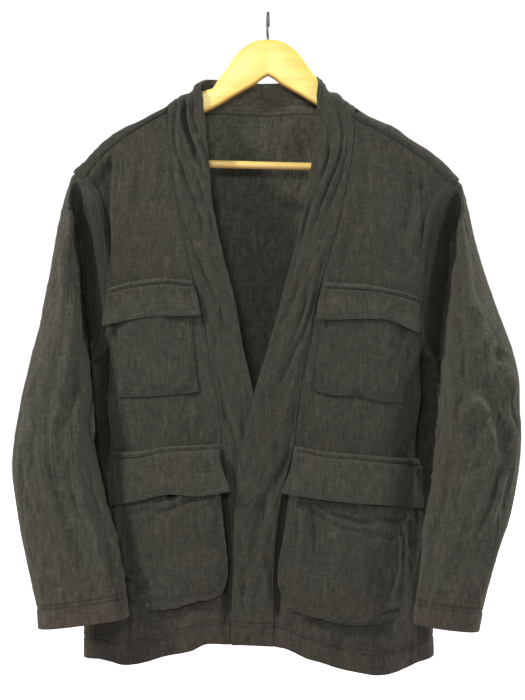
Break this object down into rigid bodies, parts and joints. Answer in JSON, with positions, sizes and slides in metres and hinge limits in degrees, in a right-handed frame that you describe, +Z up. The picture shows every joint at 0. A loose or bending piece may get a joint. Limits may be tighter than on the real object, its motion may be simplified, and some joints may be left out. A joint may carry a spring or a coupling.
{
  "type": "collarless jacket on a hanger",
  "caption": "Open collarless jacket with a wrap-over front band and flapped patch pockets, hanging on a wooden hanger with a wire hook.",
  "frame": {"origin": "the underside of the hook's round, at its top, where a rail carries the hanger", "axes": "+Z up; -Y is the front of the jacket; +X is the wearer's left, at the right of a front view"},
  "size_m": [0.6368, 0.1915, 0.8484],
  "materials": {
    "wool_cloth": "washed olive-charcoal wool, matt and slightly hairy",
    "beech_wood": "smooth lacquered wood",
    "steel_wire": "bright drawn wire"
  },
  "bodies": {
    "root": {"front_right": "wool_cloth", "band_right": "wool_cloth", "sleeve_right": "wool_cloth", "chest_pocket_right": "wool_cloth", "chest_flap_right": "wool_cloth", "hip_pocket_right": "wool_cloth", "hip_flap_right": "wool_cloth", "front_left": "wool_cloth", "band_left": "wool_cloth", "sleeve_left": "wool_cloth", "chest_pocket_left": "wool_cloth", "chest_flap_left": "wool_cloth", "hip_pocket_left": "wool_cloth", "hip_flap_left": "wool_cloth", "back": "wool_cloth", "hanger_wood": "beech_wood", "hanger_bar": "beech_wood", "hanger_hook": "steel_wire"}
  },
  "joints": []
}
